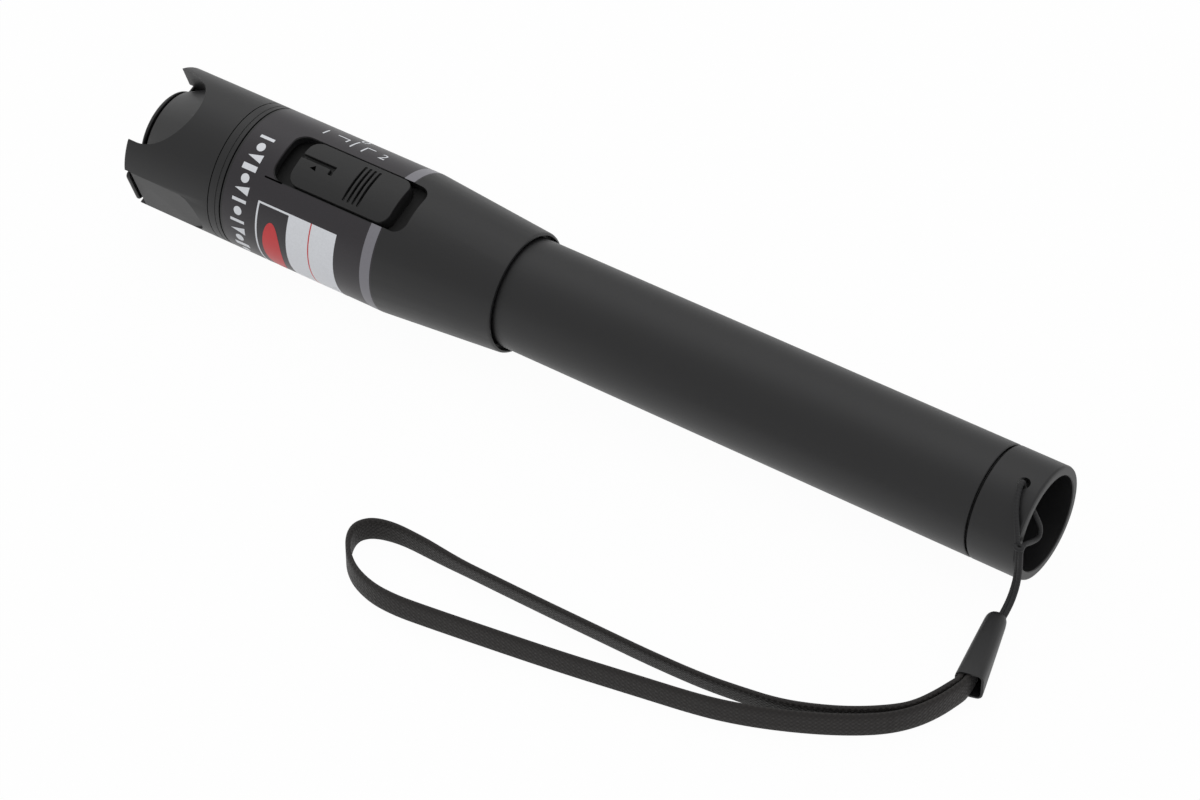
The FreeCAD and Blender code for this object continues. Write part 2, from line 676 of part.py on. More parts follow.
edge_turn = []
for step in range(3):
    turn = math.radians(90 * step / 2)
    x = TAIL_END + " - skirt_rounding * %.5f" % (1 - math.sin(turn))
    edge_turn.append((x, "tube_radius - skirt_rounding * %.5f" % (1 - math.cos(turn))))
cap_turned = turned("cap_turned", [
    (SPIGOT_END, "spigot_bore"),
    (SPIGOT_END, "spigot_radius"),
    (TAIL_START, "spigot_radius"),
    (TAIL_START, "tube_radius - 0.15"),
    (TAIL_START + " + 0.15", "tube_radius"),
] + edge_turn + [
    (TAIL_END, "tube_radius - skirt_wall + 0.15"),
    (TAIL_END + " - 0.15", "tube_radius - skirt_wall"),
    (BULKHEAD + " + bulkhead_thickness", "tube_radius - skirt_wall"),
    (BULKHEAD + " + bulkhead_thickness", "0"),
    (BULKHEAD, "0"),
    (BULKHEAD, "spigot_bore"),
])
hole = doc.addObject("Part::Cylinder", "lanyard_hole")
hole.Placement = Placement(Vector(), Rotation(Vector(1, 0, 0), size("hole_turn")))
bind(hole, Radius="hole_radius", Height="20", Placement__Base__x=TAIL_END + " - hole_from_end",
     Placement__Rotation__Angle="hole_turn")
keep("tail_cap", cut("tail_cut", cap_turned, hole))

# ---------------------------------------------------------------- lay the tool down
slope = math.degrees(math.atan2(size("barrel_radius") - size("tube_radius"),
                                value(TAIL_END + " - (" + TAPER_START + ")")))
middle = value(TAIL_END) / 2
lean = Rotation(Vector(0, 1, 0), slope)
foot_point = lean.multVec(Vector(value(TAPER_START) - middle, 0, -size("barrel_radius")))
rest = Placement(Vector(0, 0, -foot_point.z), lean.multiply(Rotation(Vector(1, 0, 0), size("roll"))))
rest = rest.multiply(Placement(Vector(-middle, 0, 0), Rotation()))
print("slope %.4f, axis height at the middle %.4f" % (slope, -foot_point.z))

# ---------------------------------------------------------------- lanyard, drawn on the floor
clamp_mouth = Vector(96.3, -33.2, 3.1)
clamp_nose = Vector(91.35, -17.0, 3.1)
clamp_axis = clamp_nose - clamp_mouth
clamp_turn = Placement(clamp_mouth, Rotation(Vector(-clamp_axis.y, clamp_axis.x, 0), clamp_axis, Vector(0, 0, 1), "YZX"))


def wedge(name, wide, wide_height, narrow, narrow_height, start, end):
    """A tapered block along the clamp's axis, wide at its mouth."""
    body = doc.addObject("Part::Wedge", name)
    body.Placement = clamp_turn
    return bind(body, Xmin="-(%s) / 2" % wide, Xmax="(%s) / 2" % wide, Zmin="-(%s) / 2" % wide_height,
                Zmax="(%s) / 2" % wide_height, X2min="-(%s) / 2" % narrow, X2max="(%s) / 2" % narrow,
                Z2min="-(%s) / 2" % narrow_height, Z2max="(%s) / 2" % narrow_height, Ymin=start, Ymax=end)


clamp_block = wedge("clamp_block", "clamp_wide", "clamp_wide_height", "clamp_narrow", "clamp_narrow_height", "0",
                    "clamp_length")
clamp_mouth_cut = wedge("clamp_mouth_cut", "clamp_wide - 1.4", "clamp_wide_height - 0.5", "clamp_wide - 1.8",
                        "clamp_wide_height - 0.6", "-0.01", "clamp_pocket")
doc.recompute()
clamp_soft = doc.addObject("Part::Fillet", "clamp_soft")
clamp_soft.Base = clamp_block
clamp_soft.Edges = [(number, 1.0, 1.0) for number, edge in enumerate(clamp_block.Shape.Edges, start=1)
                    if edge.Length > 10]
keep("lanyard_clamp", cut("clamp_cut", clamp_soft, clamp_mouth_cut))
PIECES[-1] = ("lanyard_clamp", PIECES[-1][1], False)

clamp_axis.normalize()
side_step = Vector(-clamp_axis.y, clamp_axis.x, 0)
nose_end = clamp_mouth + clamp_axis * size("clamp_length")
string_side = side_step * 0.55
string_points = [
    nose_end + string_side + clamp_axis * 0.2,
    nose_end + string_side + clamp_axis * 2.2,
    Vector(90.35, -10.95, 7.5),
    Vector(90.1, -11.05, 10.3),
    Vector(89.55, -10.95, 12.3),
    Vector(88.9, -10.45, 13.9),
    Vector(88.3, -8.3, 17.6),
    Vector(87.3, -5.6, 20.0),
    Vector(86.86, -3.7, 20.65),
    Vector(86.72, -2.5, 17.05),
    Vector(88.3, -4.1, 16.1),
    Vector(90.1, -6.1, 14.7),
    Vector(91.15, -7.9, 14.5),
    Vector(91.15, -9.6, 14.6),
    Vector(90.15, -10.75, 13.8),
    Vector(90.75, -11.0, 12.2),
    Vector(91.2, -11.0, 10.2),
    Vector(91.4, -10.9, 7.5),
    nose_end - string_side + clamp_axis * 2.2,
    nose_end - string_side + clamp_axis * 0.2,
]
cord("lanyard_string", string_points, "string_diameter", False)


def ribbon(label, points):
    """A flat woven band on its edge on the floor, swept along a plan route."""
    wire, turns = route(points)
    half = size("strap_thickness") / 2
    near, far = [], []
    for edge in wire.Edges:
        spots = [edge.FirstParameter, (edge.FirstParameter + edge.LastParameter) / 2, edge.LastParameter]
        pairs = []
        for spot in spots:
            ahead = edge.tangentAt(spot)
            across = Vector(-ahead.y, ahead.x, 0) * half
            pairs.append((edge.valueAt(spot) + across, edge.valueAt(spot) - across))
        for side, chosen in ((near, 0), (far, 1)):
            first, mid, last = (pair[chosen] for pair in pairs)
            if isinstance(edge.Curve, Part.Circle):
                side.append(Part.Arc(first, mid, last).toShape())
            else:
                side.append(Part.LineSegment(first, last).toShape())
    start = Part.LineSegment(far[0].valueAt(far[0].FirstParameter), near[0].valueAt(near[0].FirstParameter))
    end = Part.LineSegment(near[-1].valueAt(near[-1].LastParameter), far[-1].valueAt(far[-1].LastParameter))
    outline = doc.addObject("Part::Feature", label + "_outline")
    outline.Shape = Part.Face(Part.Wire(Part.__sortEdges__([start.toShape(), end.toShape()] + near + far)))
    band = doc.addObject("Part::Extrusion", label + "_band")
    band.Base = outline
    band.Dir = Vector(0, 0, 1)
    band.DirMode = "Custom"
    band.Solid = True
    bind(band, LengthFwd="strap_width")
    doc.recompute()
    section = size("strap_thickness") * size("strap_width")
    print("%s: length %.2f, tightest turn %.2f, volume %.3f against %.3f" % (
        label, wire.Length, min(turns), band.Shape.Volume, section * wire.Length))
    band.Label = label
    PIECES.append((label, band, False))
    return band


strap_z = 0.7
strap_side = side_step * 0.52
anchor = clamp_mouth + clamp_axis * (size("clamp_pocket") - 0.35)
doorway = clamp_mouth - clamp_axis * 0.4
far_doorway = clamp_mouth - clamp_axis * 0.9
strap_points = [Vector(x, y, strap_z) for x, y in (
    (anchor.x + strap_side.x, anchor.y + strap_side.y),
    (doorway.x + strap_side.x, doorway.y + strap_side.y),
    (93.1, -38.3),
    (89.6, -44.6),
    (83.7, -49.75),
    (77.4, -53.1),
    (67.5, -54.5),
    (52.6, -54.7),
    (37.0, -54.3),
    (21.0, -53.8),
    (6.0, -53.1),
    (-1.6, -53.2),
    (-6.2, -54.1),
    (-9.2, -54.8),
    (-9.7, -57.1),
    (-7.1, -59.5),
    (-2.6, -63.0),
    (3.4, -66.3),
    (12.0, -67.2),
    (24.0, -66.2),
    (36.5, -64.6),
    (49.0, -62.9),
    (61.5, -60.0),
    (71.5, -56.9),
    (79.0, -53.6),
    (84.4, -50.65),
    (90.5, -45.4),
    (94.2, -38.75),
    (far_doorway.x - strap_side.x, far_doorway.y - strap_side.y),
    (anchor.x - strap_side.x, anchor.y - strap_side.y),
)]
ribbon("wrist_strap", strap_points)

# ---------------------------------------------------------------- check every piece and write it out
doc.recompute()
for thing in doc.Objects:
    if "Invalid" in thing.State or "Error" in thing.State:
        raise RuntimeError("object %s did not compute: %s" % (thing.Name, thing.State))
os.makedirs("parts", exist_ok=True)
for label, piece, on_tool in PIECES:
    if on_tool:
        piece.Placement = rest.multiply(piece.Placement)
doc.recompute()
for label, piece, on_tool in PIECES:
    shape = piece.Shape
    if shape.isNull() or not shape.isValid() or len(shape.Solids) != 1:
        raise RuntimeError("piece %s has no sound single solid" % label)
    box = shape.BoundBox
    print("%-16s %9.2f mm3  x %7.2f %7.2f  y %7.2f %7.2f  z %7.2f %7.2f" % (
        label, shape.Volume, box.XMin, box.XMax, box.YMin, box.YMax, box.ZMin, box.ZMax))
    shape.exportStep("parts/%s.step" % label)
print("%d pieces written" % len(PIECES))
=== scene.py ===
import math

import bmesh
import bpy
from bpy.props import FloatProperty, FloatVectorProperty
from mathutils import Matrix, Vector


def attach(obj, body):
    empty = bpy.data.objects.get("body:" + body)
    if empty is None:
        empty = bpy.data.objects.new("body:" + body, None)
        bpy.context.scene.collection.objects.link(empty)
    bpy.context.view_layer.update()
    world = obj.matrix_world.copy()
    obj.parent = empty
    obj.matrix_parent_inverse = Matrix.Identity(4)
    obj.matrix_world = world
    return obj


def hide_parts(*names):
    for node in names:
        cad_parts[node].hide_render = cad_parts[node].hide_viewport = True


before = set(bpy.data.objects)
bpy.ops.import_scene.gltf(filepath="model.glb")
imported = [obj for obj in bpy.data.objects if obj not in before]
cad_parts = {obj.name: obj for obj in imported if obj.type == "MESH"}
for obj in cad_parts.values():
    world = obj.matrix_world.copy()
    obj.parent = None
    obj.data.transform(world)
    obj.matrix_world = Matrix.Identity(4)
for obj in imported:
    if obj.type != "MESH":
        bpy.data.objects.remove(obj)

bl_info = {
    "name": "Visual fault locator",
    "version": (1, 0, 0),
    "blender": (4, 5, 0),
    "location": "View3D > Sidebar > Fault Locator",
    "description": "Dresses the packed pen-type fault locator: finishes, prints, lanyard and studio",
    "category": "Object",
}

MM = 0.001
SCENE = bpy.context.scene

# ------------------------------------------------------------------ where the tool lies
# The tool's own frame: X from the head's tips to the tail, Z on the switch side, millimetres.
BARREL_RADIUS = 13.0
TUBE_RADIUS = 10.0
TOOL_LENGTH = 180.0
TAPER_START = 54.2
ROLL = 21.5
BUTTON_RADIUS = 13.25
WINDOW_HALF = 5.25


def tool_rest():
    """The matrix that lays the tool's own frame, in millimetres, on the floor, in metres."""
    slope = math.atan2(BARREL_RADIUS - TUBE_RADIUS, TOOL_LENGTH - TAPER_START)
    lean = Matrix.Rotation(slope, 4, "Y")
    lowest = lean @ Vector((TAPER_START - TOOL_LENGTH / 2, 0, -BARREL_RADIUS))
    rolled = lean @ Matrix.Rotation(math.radians(ROLL), 4, "X")
    centred = rolled @ Matrix.Translation((-TOOL_LENGTH / 2, 0, 0))
    return Matrix.Scale(MM, 4) @ Matrix.Translation((0, 0, -lowest.z)) @ centred


REST = tool_rest()
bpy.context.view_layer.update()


# ------------------------------------------------------------------ settings a user would change
class LocatorFinishSettings(bpy.types.PropertyGroup):
    """Colours and surface sizes of the tool's finishes."""

    anodised: FloatVectorProperty(name="Anodised metal", description="Colour of crown, barrel, tube and tail cap",
                                  subtype="COLOR", size=3, min=0, max=1, default=(0.0075, 0.0075, 0.0082))
    film: FloatVectorProperty(name="Label film", description="Colour of the printed film round the barrel",
                              subtype="COLOR", size=3, min=0, max=1, default=(0.0165, 0.0135, 0.0175))
    plastic: FloatVectorProperty(name="Moulded plastic", description="Colour of the switch, dust cap and clamp",
                                 subtype="COLOR", size=3, min=0, max=1, default=(0.0062, 0.0062, 0.0066))
    grain: FloatProperty(name="Blasting grain", description="Size of the grain under the anodising",
                         unit="LENGTH", min=0.00002, max=0.001, default=0.00011)


class LocatorLanyardSettings(bpy.types.PropertyGroup):
    """Sizes and colour of the wrist lanyard."""

    strap_width: FloatProperty(name="Strap width", description="Width of the woven strap", unit="LENGTH",
                               min=0.002, max=0.02, default=0.0044)
    strap_thickness: FloatProperty(name="Strap thickness", description="Thickness of the woven strap",
                                   unit="LENGTH", min=0.0003, max=0.003, default=0.00085)
    string_diameter: FloatProperty(name="String diameter", description="Diameter of the thin cord at the tail",
                                   unit="LENGTH", min=0.0004, max=0.002, default=0.0009)
    woven: FloatVectorProperty(name="Woven nylon", description="Colour of the strap's yarn", subtype="COLOR",
                               size=3, min=0, max=1, default=(0.0080, 0.0062, 0.0055))


class LocatorStageSettings(bpy.types.PropertyGroup):
    """Light, floor and backdrop."""

    key: FloatProperty(name="Key light", description="Power of the large soft light above", subtype="POWER",
                       min=0, max=50, default=0.9)
    world: FloatProperty(name="Studio walls", description="Strength of the light from all round", min=0, max=3,
                         default=0.72)


SETTINGS = (
    ("locator_finish", LocatorFinishSettings),
    ("locator_lanyard", LocatorLanyardSettings),
    ("locator_stage", LocatorStageSettings),
)


# ------------------------------------------------------------------ shader maths
class Web:
    """The node tree of one material."""

    def __init__(self, name):
        self.material = bpy.data.materials.new(name)
        self.material.use_nodes = True
        self.tree = self.material.node_tree
        self.shader = self.tree.nodes["Principled BSDF"]

    def feed(self, socket, value):
        if isinstance(value, Wire):
            self.tree.links.new(value.socket, socket)
        elif hasattr(socket.default_value, "__len__") and len(socket.default_value) == 4 and len(value) == 3:
            socket.default_value = (*value, 1)
        else:
            socket.default_value = value

    def node(self, kind, settings=None, out=0, **inputs):
        made = self.tree.nodes.new(kind)
        for key, value in (settings or {}).items():
            if key == "stops":
                ramp = made.color_ramp.elements
                for index, (place, colour) in enumerate(value):
                    stop = ramp[index] if index < 2 else ramp.new(place)
                    stop.position, stop.color = place, (*colour, 1)
            else:
                setattr(made, key, value)
        for key, value in inputs.items():
            place = int(key[1:]) if key[0] == "i" and key[1:].isdigit() else key.replace("_", " ")
            self.feed(made.inputs[place], value)
        return Wire(self, made.outputs[out])

    def coordinates(self, kind="Object"):
        return self.node("ShaderNodeTexCoord", out=kind)

    def mix(self, factor, first, second):
        return self.node("ShaderNodeMix", {"data_type": "RGBA"}, out=2, i0=factor, i6=first, i7=second)

    def bump(self, height, distance, strength=1.0, normal=None):
        extra = {} if normal is None else {"Normal": normal}
        return self.node("ShaderNodeBump", Height=height, Distance=distance, Strength=strength, **extra)

    def noise(self, where, scale, detail=2.0, roughness=0.5):
        return self.node("ShaderNodeTexNoise", Vector=where, Scale=scale, Detail=detail, Roughness=roughness)

    def finish(self, **sockets):
        for key, value in sockets.items():
            self.feed(self.shader.inputs[key.replace("_", " ")], value)
        return self.material


class Wire:
    """A socket's value that takes part in plain arithmetic."""

    def __init__(self, web, socket):
        self.web, self.socket = web, socket

    def _sum(self, operation, other=None, swapped=False):
        first, second = (other, self) if swapped else (self, other)
        inputs = {"i0": first} if other is None else {"i0": first, "i1": second}
        return self.web.node("ShaderNodeMath", {"operation": operation}, **inputs)

    def __add__(self, other):
        return self._sum("ADD", other)

    def __sub__(self, other):
        return self._sum("SUBTRACT", other)

    def __rsub__(self, other):
        return self._sum("SUBTRACT", other, True)

    def __mul__(self, other):
        return self._sum("MULTIPLY", other)

    __radd__ = __add__
    __rmul__ = __mul__

    def calc(self, operation, other=None):
        return self._sum(operation, other)

    def part(self, axis):
        split = self.web.tree.nodes.new("ShaderNodeSeparateXYZ")
        self.web.tree.links.new(self.socket, split.inputs[0])
        return Wire(self.web, split.outputs[axis])


FINISHES = {}


def metal_finish(name, colour, roughness, grain, metallic=0.0, relief=0.000012):
    """Blasted and anodised or turned metal: fine grain, faint mottling and slightly varied gloss."""
    if name in FINISHES:
        return FINISHES[name]
    web = Web(name)
    where = web.coordinates()
    fine = web.noise(where, 1 / grain, 2.0)
    broad = web.noise(where, 90.0, 3.0, 0.6)
    shade = web.mix(broad, tuple(c * 0.82 for c in colour), tuple(min(1, c * 1.22) for c in colour))
    FINISHES[name] = web.finish(
        Base_Color=shade, Roughness=(fine - 0.5) * 0.10 + (broad - 0.5) * 0.08 + roughness, Metallic=metallic,
        Normal=web.bump(fine, relief))
    return FINISHES[name]


def plastic_finish(name, colour, roughness, grain=0.00016, relief=0.000010):
    """Moulded plastic with the fine spark-eroded texture of its mould."""
    if name in FINISHES:
        return FINISHES[name]
    web = Web(name)
    where = web.coordinates()
    cells = web.node("ShaderNodeTexVoronoi", Vector=where, Scale=1 / grain)
    broad = web.noise(where, 160.0, 2.0)
    shade = web.mix(broad, tuple(c * 0.85 for c in colour), tuple(min(1, c * 1.18) for c in colour))
    FINISHES[name] = web.finish(Base_Color=shade, Roughness=(broad - 0.5) * 0.10 + roughness,
                                Normal=web.bump(cells, relief))
    return FINISHES[name]


def shadow_finish(name):
    """The unlit black of a deep cut: no shine, faintly mottled."""
    web = Web(name)
    grain = web.noise(web.coordinates(), 400.0)
    web.finish(Base_Color=web.mix(grain, (0.0002, 0.0002, 0.0002), (0.0008, 0.0008, 0.0008)), Roughness=1.0)
    web.shader.inputs["Specular IOR Level"].default_value = 0.0
    return web.material


def ink_finish(name, colour):
    """Screen-printed ink: nearly flat, with a slightly broken edge of density."""
    if name in FINISHES:
        return FINISHES[name]
    web = Web(name)
    where = web.coordinates()
    density = web.noise(where, 2600.0, 2.0)
    shade = web.mix(density, tuple(c * 0.86 for c in colour), colour)
    FINISHES[name] = web.finish(Base_Color=shade, Roughness=(density - 0.5) * 0.1 + 0.42)
    return FINISHES[name]


def woven_finish(name, colour):
    """Plain-woven nylon ribbon: ribs of warp yarn crossed by weft, on the piece's own UV in metres."""
    web = Web(name)
    place = web.coordinates("UV")
    along, across = place.part(0), place.part(1)
    pick = 0.00095
    warp = 0.0008
    weft_wave = (along * (math.tau / pick)).calc("SINE")
    warp_wave = (across * (math.tau / warp)).calc("SINE")
    crossing = weft_wave * warp_wave
    height = crossing * 0.3 + weft_wave * 0.12 + warp_wave * 0.08 + 0.5
    fuzz = web.noise(web.coordinates(), 5200.0, 2.0)
    # The yarn's colour follows the weave's height: painted shade in the hollows between yarns and painted highlight
    # on the raised crossings.
    weave_hollow_shade = tuple(c * 0.45 for c in colour)
    light = tuple(c * 1.9 for c in colour)
    shade = web.mix((height + (fuzz - 0.5) * 0.5).calc("MINIMUM", 1.0), weave_hollow_shade, light)
    web.shader.inputs["Sheen Weight"].default_value = 0.12
    web.shader.inputs["Sheen Roughness"].default_value = 0.4
    return web.finish(Base_Color=shade, Roughness=(fuzz - 0.5) * 0.2 + 0.72,
                      Normal=web.bump(height + fuzz * 0.3, 0.00012))


def cord_finish(name, colour, turns):
    """Braided or twisted thin cord, on the tube's own UV."""
    web = Web(name)
    place = web.coordinates("UV")
    along, around = place.part(0), place.part(1)
    one = ((along * turns + around * 2) * math.tau).calc("SINE")
    other = ((along * turns - around * 2) * math.tau).calc("SINE")
    height = one * other * 0.35 + 0.5
    fuzz = web.noise(web.coordinates(), 6500.0, 2.0)
    # The cord's colour follows the braid's height: painted shade in its grooves and painted highlight on its
    # strands.
    shade = web.mix(height, tuple(c * 0.5 for c in colour), tuple(c * 1.7 for c in colour))
    return web.finish(Base_Color=shade, Roughness=(fuzz - 0.5) * 0.2 + 0.7,
                      Normal=web.bump(height + fuzz * 0.4, 0.00005))


# ------------------------------------------------------------------ mesh helpers
def finish_settings():
    return SCENE.locator_finish


def lanyard_settings():
    return SCENE.locator_lanyard


def mesh_piece(name, work, body, material, placed=None, smooth=40):
    """A finished object at the origin from a bmesh, riding on a CAD body; placed is its own frame's matrix."""
    if placed is not None:
        work.transform(placed)
    mesh = bpy.data.meshes.new(name)
    work.to_mesh(mesh)
    work.free()
    piece = bpy.data.objects.new(name, mesh)
    SCENE.collection.objects.link(piece)
    mesh.materials.append(material)
    for face in mesh.polygons:
        face.use_smooth = True
    mesh.set_sharp_from_angle(angle=math.radians(smooth))
    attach(piece, body)
    return piece


def softened(node, body, material, width, segments=2, angle=32, flat=0.02):
    """A CAD node's shape with its edges eased, standing for the node."""
    work = bmesh.new()
    work.from_mesh(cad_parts[node].data)
    bmesh.ops.remove_doubles(work, verts=work.verts, dist=2e-6)
    if flat:
        bmesh.ops.dissolve_limit(work, angle_limit=flat, verts=work.verts, edges=work.edges)
    piece = mesh_piece(node + "_eased", work, body, material, smooth=angle)
    bevel = piece.modifiers.new("eased_edges", "BEVEL")
    bevel.width = width * MM
    bevel.segments = segments
    bevel.limit_method = "ANGLE"
    bevel.angle_limit = math.radians(angle)
    bevel.miter_outer = "MITER_ARC"
    even = piece.modifiers.new("even_normals", "WEIGHTED_NORMAL")
    even.keep_sharp = True
    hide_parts(node)
    return piece


def wrapped(point, lift=0.0):
    """A flat print's point (station, arc, height) bent round the barrel, arc measured from the switch side."""
    station, arc, height = point
    radius = BARREL_RADIUS + height + lift
    turn = arc / BARREL_RADIUS
    return Vector((station, -radius * math.sin(turn), radius * math.cos(turn)))


PRINT_THICKNESS = 0.02


def print_piece(name, work, material):
    """Bends flat print art round the barrel, lifted off it by the ink's thickness."""
    bmesh.ops.triangulate(work, faces=work.faces)
    longest = 0.5
    for _ in range(6):
        long_edges = [edge for edge in work.edges if edge.calc_length() > longest]
        if not long_edges:
            break
        bmesh.ops.subdivide_edges(work, edges=long_edges, cuts=1)
        bmesh.ops.triangulate(work, faces=[face for face in work.faces if len(face.verts) > 3])
    for vert in work.verts:
        vert.co = wrapped(vert.co, PRINT_THICKNESS)
    bmesh.ops.recalc_face_normals(work, faces=work.faces)
    return mesh_piece(name, work, "housing", material, REST, smooth=60)


def add_patch(work, corners):
    """One flat polygon of print art, corners as (station, arc)."""
    work.faces.new([work.verts.new((x, y, 0)) for x, y in corners])


def bar_corners(start, end, width):
    """The four corners of a stroke between two flat points."""
    a, b = Vector(start), Vector(end)
    side = (b - a).normalized().orthogonal() * width / 2
    return [a + side, a - side, b - side, b + side]


# ------------------------------------------------------------------ lanyard routes, millimetres on the floor's frame
CLAMP_MOUTH = Vector((95.2, -33.0, 2.8))
CLAMP_AXIS = Vector((-4.2, 16.1, 0.0)).normalized()
CLAMP_SIDE = Vector((-CLAMP_AXIS.y, CLAMP_AXIS.x, 0))
STRAP_LEVEL = 2.3

STRING_ROUTE = [
    (91.3, -16.9, 2.9), (91.1, -14.2, 3.5), (90.8, -11.6, 5.6), (90.6, -10.6, 8.0), (90.5, -10.55, 10.6),
    (90.3, -10.4, 12.8), (90.0, -10.1, 14.0), (89.2, -9.2, 15.7), (88.1, -7.7, 17.6), (87.2, -5.8, 19.3),
    (86.9, -3.7, 20.55), (86.72, -2.5, 17.05), (88.4, -3.7, 16.3), (89.9, -4.0, 14.4), (90.6, -3.4, 12.0),
    (90.7, -4.0, 10.2), (90.8, -6.8, 11.4), (90.9, -9.4, 12.9), (91.0, -10.7, 12.6), (91.15, -10.8, 10.6),
    (91.2, -10.8, 8.0), (91.45, -11.9, 5.5), (91.75, -14.4, 3.5), (91.95, -17.1, 2.9)]
KNOT_PLACE = Vector((90.65, -10.75, 13.1))
KNOT_RADIUS = 0.62
STRAP_POINTS = (
    (93.6, -35.3), (92.6, -38.6), (91.1, -42.0), (89.1, -44.5), (84.2, -48.2), (78.9, -51.2), (73.1, -53.4),
    (66.6, -54.3), (59.9, -55.1), (50.0, -55.3), (40.0, -55.1), (30.0, -54.9), (20.0, -54.6), (11.3, -54.3),
    (4.1, -53.7), (-0.7, -53.6), (-4.4, -54.5), (-6.1, -56.3), (-6.2, -58.4), (-5.0, -61.1), (-2.7, -63.9),
    (0.5, -66.2), (5.0, -67.7), (9.4, -67.9), (13.6, -67.5), (26.6, -65.8), (39.4, -64.0), (51.6, -61.9),
    (62.8, -60.0), (68.9, -58.2), (74.6, -55.9), (80.2, -53.1), (84.6, -50.4), (87.9, -47.9), (90.3, -45.5),
    (92.3, -42.6), (93.8, -39.2), (94.75, -35.6))


def strap_route():
    """The strap's middle line on the floor, from inside the clamp round the loop and back."""
    def at_clamp(depth, side):
        return CLAMP_MOUTH + CLAMP_AXIS * depth + CLAMP_SIDE * side
    run = [at_clamp(3.65, 0.9), at_clamp(-0.4, 1.2), *STRAP_POINTS, at_clamp(-0.4, 0.15), at_clamp(3.65, -0.15)]
    return [Vector((point[0], point[1], STRAP_LEVEL)) for point in run]


def route_curve(name, points, resolution):
    """One NURBS spline through a route's millimetre points, in metres."""
    curve = bpy.data.curves.new(name, "CURVE")
    curve.dimensions = "3D"
    spline = curve.splines.new("NURBS")
    spline.points.add(len(points) - 1)
    for spot, point in zip(spline.points, points):
        spot.co = (point[0] * MM, point[1] * MM, point[2] * MM, 1)
    spline.order_u = 3
    spline.use_endpoint_u = True
    spline.resolution_u = resolution
    return curve


def nurbs_cord(name, points, diameter):
    """A cord of round section along a route."""
    curve = route_curve(name, points, 8)
    curve.bevel_depth = diameter / 2
    curve.bevel_resolution = 3
    curve.use_fill_caps = True
    piece = bpy.data.objects.new(name, curve)
    SCENE.collection.objects.link(piece)
    return piece


def line_points(points):
    """Points along the smoothed spline of a route, in metres, with the distance run at each."""
    curve = route_curve("route_reader", points, 10)
    reader = bpy.data.objects.new("route_reader", curve)
    mesh = bpy.data.meshes.new_from_object(reader)
    spots = [vert.co.copy() for vert in mesh.vertices]
    bpy.data.objects.remove(reader)
    bpy.data.curves.remove(curve)
    bpy.data.meshes.remove(mesh)
    run, total = [(spots[0], 0.0)], 0.0
    for before, after in zip(spots, spots[1:]):
        total += (after - before).length
        run.append((after, total))
    return run


# how far the strap's upper edge leans from upright, in degrees, at distances along it in millimetres
STRAP_LEAN = ((0, 0), (8, 2), (26, 12), (45, 19), (92, 19), (104, 8), (112, 2), (122, 0), (300, 0))
# the strap's lower edge clears the floor by this much, and by more as it rises into the clamp
FLOOR_GAP = 0.08
CLAMP_LIFT = 0.45
LIFT_REACH = 22.0


def lean_at(distance):
    """The strap's lean towards the open floor, in radians, this far along it in metres."""
    spot = distance / MM
    for (start, first), (end, last) in zip(STRAP_LEAN, STRAP_LEAN[1:]):
        if spot <= end:
            share = (spot - start) / (end - start)
            share = share * share * (3 - 2 * share)
            return math.radians(first + (last - first) * share)
    return 0.0


def strap_mesh(name, width, thickness, material, body):
    """The woven strap as a ribbon that stands on its edge and leans, with its own UV in metres."""
    run = line_points(strap_route())
    work = bmesh.new()
    layer = work.loops.layers.uv.new("weave")
    rows = []
    rounding = thickness * 0.3
    side, edge, rib = thickness / 2, width / 2, width * 0.18
    section = [(-side, -edge + rounding), (-side, -rib), (-side, rib), (-side, edge - rounding),
               (-side + rounding, edge), (side - rounding, edge), (side, edge - rounding),
               (side, rib), (side, -rib), (side, -edge + rounding),
               (side - rounding, -edge), (-side + rounding, -edge)]
    for index, (spot, distance) in enumerate(run):
        before, after = run[max(0, index - 1)][0], run[min(len(run) - 1, index + 1)][0]
        ahead = (after - before).normalized()
        across = Vector((0, 0, 1)).cross(ahead).normalized()
        lean = lean_at(distance)
        # the lean is towards -Y on both legs, whichever way the strap runs
        blend = max(-1.0, min(1.0, -across.y * 2.5))
        angle = lean * blend
        up = (Vector((0, 0, 1)) * math.cos(angle) + across * math.sin(angle)).normalized()
        out = up.cross(ahead).normalized()
        centre = spot.copy()
        foot = min((out * x + up * y).z for x, y in section)
        nearest = min(distance, run[-1][1] - distance) / MM
        share = max(0.0, 1 - nearest / LIFT_REACH)
        centre.z = -foot + (FLOOR_GAP + CLAMP_LIFT * share * share * (3 - 2 * share)) * MM
        rows.append([work.verts.new(centre + out * x + up * y) for x, y in section])
    around = [0.0]
    for (x0, y0), (x1, y1) in zip(section, section[1:] + section[:1]):
        around.append(around[-1] + math.hypot(x1 - x0, y1 - y0))
    for index in range(len(rows) - 1):
        first, second = rows[index], rows[index + 1]
        for corner in range(len(section)):
            after = (corner + 1) % len(section)
            face = work.faces.new((first[corner], first[after], second[after], second[corner]))
            stations = (run[index][1], run[index][1], run[index + 1][1], run[index + 1][1])
            turns = (around[corner], around[corner + 1], around[corner + 1], around[corner])
            for loop, station, turn in zip(face.loops, stations, turns):
                loop[layer].uv = (station, turn)
    work.faces.new(rows[0])
    work.faces.new(list(reversed(rows[-1])))
    bmesh.ops.recalc_face_normals(work, faces=work.faces)
    return mesh_piece(name, work, body, material, smooth=50)


